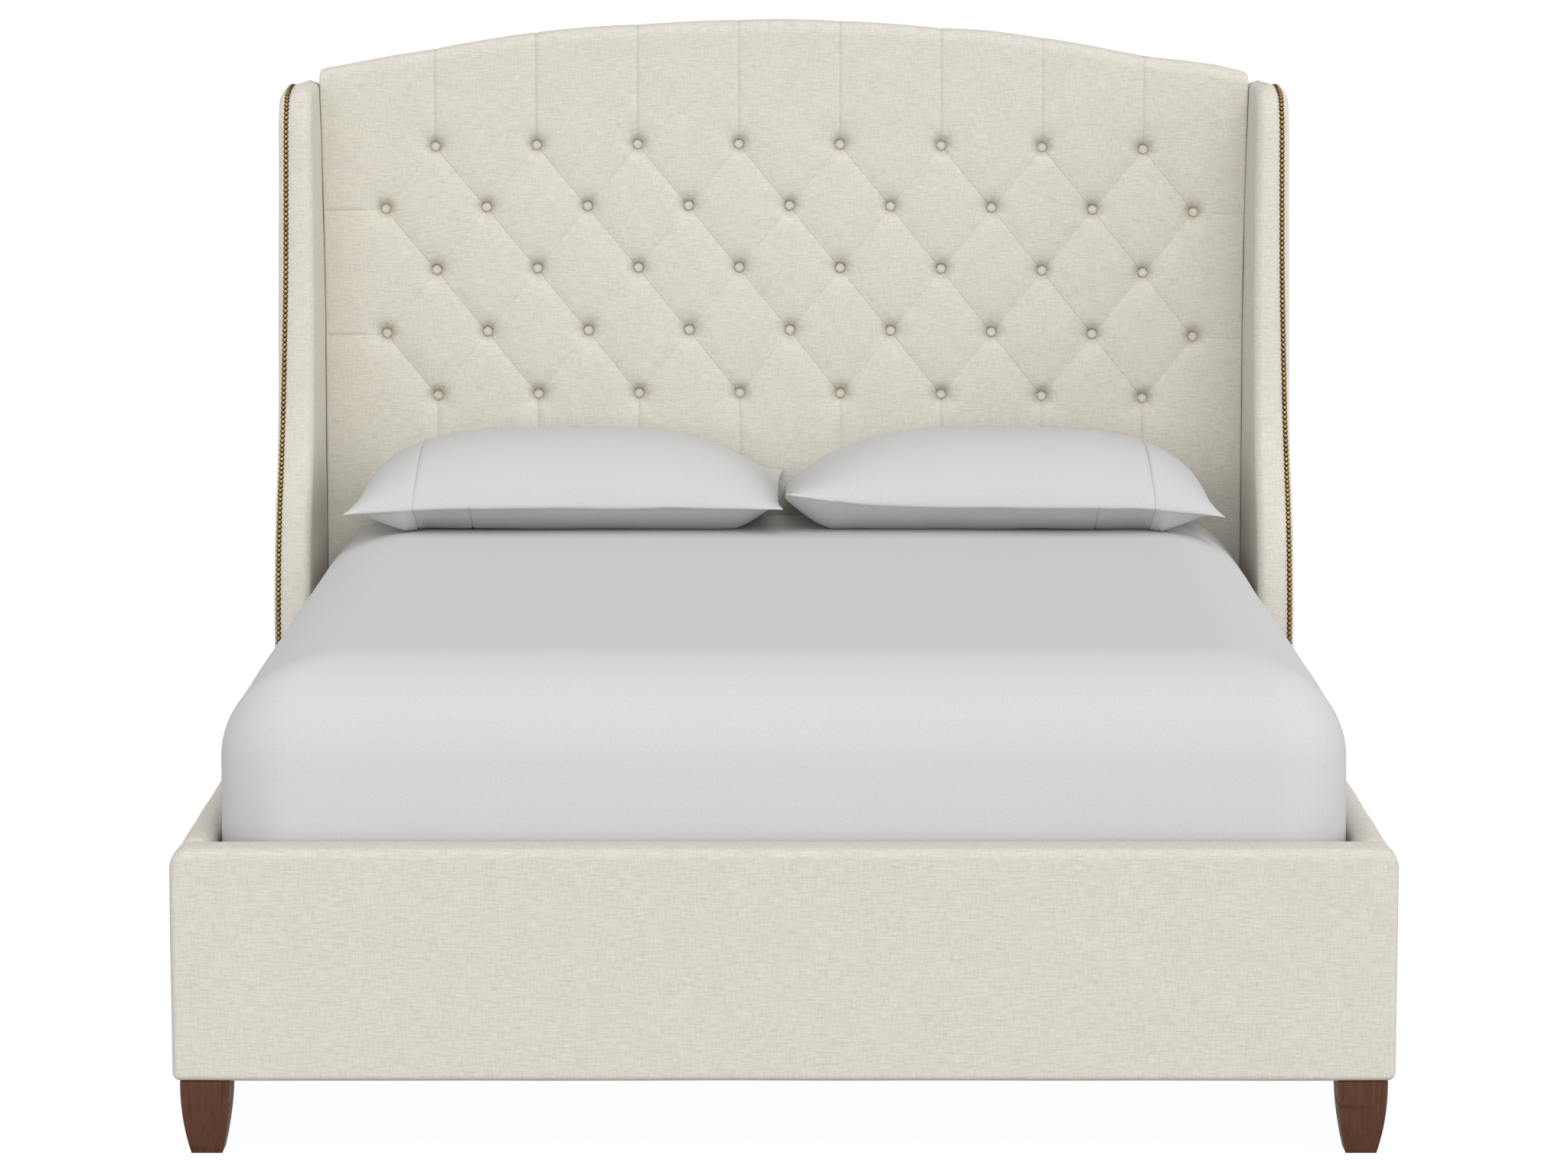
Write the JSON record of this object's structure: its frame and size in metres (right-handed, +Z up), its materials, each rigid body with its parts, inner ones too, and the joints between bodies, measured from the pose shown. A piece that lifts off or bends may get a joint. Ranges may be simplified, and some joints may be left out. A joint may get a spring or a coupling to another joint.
{
  "type": "wingback bed",
  "caption": "Upholstered bed with an arched, diamond tufted wingback headboard, nail trimmed wings, padded rails and footboard, tapered wooden legs, slats, mattress and pillows.",
  "frame": {"origin": "middle of the bed's footprint, on the floor", "axes": "+X to the right seen from the foot end, +Y from the footboard to the headboard, +Z up"},
  "size_m": [1.652, 2.219, 1.4648],
  "materials": {
    "linen": "matte",
    "backing_cloth": "matte",
    "mattress_sheet": "matte",
    "pillow_cotton": "matte",
    "webbing": "matte",
    "stained_wood": "satin",
    "frame_wood": "matte",
    "slat_wood": "satin",
    "plywood": "matte",
    "black_steel": "satin",
    "zinc_steel": "satin",
    "antique_brass": "satin",
    "black_plastic": "matte"
  },
  "bodies": {
    "frame": {"beam_shoes": "black_steel", "centre_beam": "frame_wood", "centre_leg_bolts": "zinc_steel", "centre_leg_front": "frame_wood", "centre_leg_rear": "frame_wood", "cleat_screws": "zinc_steel", "foot_brackets": "black_steel", "footboard_core": "frame_wood", "footboard_cover": "linen", "frame_bolts": "zinc_steel", "front_leg_bolts": "zinc_steel", "front_leg_left": "stained_wood", "front_leg_plates": "zinc_steel", "front_leg_right": "stained_wood", "head_plates": "black_steel", "headboard_back_cover": "backing_cloth", "headboard_cross_rails": "frame_wood", "headboard_pad": "linen", "headboard_panel": "plywood", "headboard_post_left": "frame_wood", "headboard_post_right": "frame_wood", "leg_glides": "black_plastic", "nail_trim_left": "antique_brass", "nail_trim_right": "antique_brass", "side_rail_core_left": "frame_wood", "side_rail_core_right": "frame_wood", "side_rail_cover_left": "linen", "side_rail_cover_right": "linen", "slat_cleat_left": "frame_wood", "slat_cleat_right": "frame_wood", "slat_screws": "zinc_steel", "slat_webbing": "webbing", "slats": "slat_wood", "t_nuts": "zinc_steel", "threaded_inserts": "zinc_steel", "tuft_buttons": "linen", "tuft_washers": "zinc_steel", "wing_bolts": "zinc_steel", "wing_cleat_left": "frame_wood", "wing_cleat_right": "frame_wood", "wing_core_left": "plywood", "wing_core_right": "plywood", "wing_cover_left": "linen", "wing_cover_right": "linen"},
    "mattress": {"mattress": "mattress_sheet"},
    "pillow_left": {"pillow_left": "pillow_cotton"},
    "pillow_right": {"pillow_right": "pillow_cotton"},
    "leveller_pad_front": {"leveller_pad_front": "black_plastic"},
    "leveller_pad_rear": {"leveller_pad_rear": "black_plastic"},
    "leveller_stud_front": {"leveller_stud_front": "zinc_steel"},
    "leveller_stud_rear": {"leveller_stud_rear": "zinc_steel"}
  },
  "joints": [
    {"name": "mattress_lift", "type": "slide", "parent": "frame", "child": "mattress", "axis": [0, 0, 1], "range_m": [0, 0.4]},
    {"name": "pillow_left_lift", "type": "slide", "parent": "mattress", "child": "pillow_left", "axis": [0, 0, 1], "range_m": [0, 0.3]},
    {"name": "pillow_right_lift", "type": "slide", "parent": "mattress", "child": "pillow_right", "axis": [0, 0, 1], "range_m": [0, 0.3]},
    {"name": "leveller_pad_front_slide", "type": "slide", "parent": "frame", "child": "leveller_pad_front", "axis": [0, 0, 1], "range_m": [0, 0.01]},
    {"name": "leveller_stud_front_turn", "type": "hinge", "parent": "leveller_pad_front", "child": "leveller_stud_front", "pos_m": [0, -0.2735, 0.03], "axis": [0, 0, 1], "range_deg": [0, 2880]},
    {"name": "leveller_pad_rear_slide", "type": "slide", "parent": "frame", "child": "leveller_pad_rear", "axis": [0, 0, 1], "range_m": [0, 0.01]},
    {"name": "leveller_stud_rear_turn", "type": "hinge", "parent": "leveller_pad_rear", "child": "leveller_stud_rear", "pos_m": [0, 0.4405, 0.03], "axis": [0, 0, 1], "range_deg": [0, 2880]}
  ],
  "couplings": [
    {"joint": "leveller_pad_front_slide", "follows": "leveller_stud_front_turn", "m_per_rad": 0.00019894},
    {"joint": "leveller_pad_rear_slide", "follows": "leveller_stud_rear_turn", "m_per_rad": 0.00019894}
  ]
}
